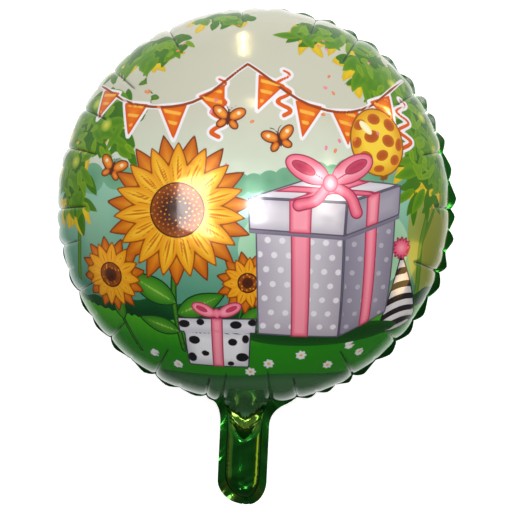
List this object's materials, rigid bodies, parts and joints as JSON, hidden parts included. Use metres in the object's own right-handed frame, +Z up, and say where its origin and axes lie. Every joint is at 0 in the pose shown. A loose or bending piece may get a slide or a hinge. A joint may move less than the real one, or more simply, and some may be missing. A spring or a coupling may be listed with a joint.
{
  "type": "round foil balloon",
  "caption": "Gas-filled round foil balloon with a puckered, sealed rim and a flat filling neck, lying on its back.",
  "frame": {"origin": "middle of the small flat on the back sheet that the balloon lies on, under the middle of the round body", "axes": "+Z up out of the printed front sheet, -Y towards the tip of the neck, +X to the right of the print"},
  "size_m": [0.3506, 0.4351, 0.2027],
  "materials": {
    "printed_film": "glossy print in greens on metallised film",
    "green_film": "mirror-like deep green metallised film"
  },
  "bodies": {
    "root": {"front_foil": "printed_film", "back_foil": "green_film"}
  },
  "joints": []
}
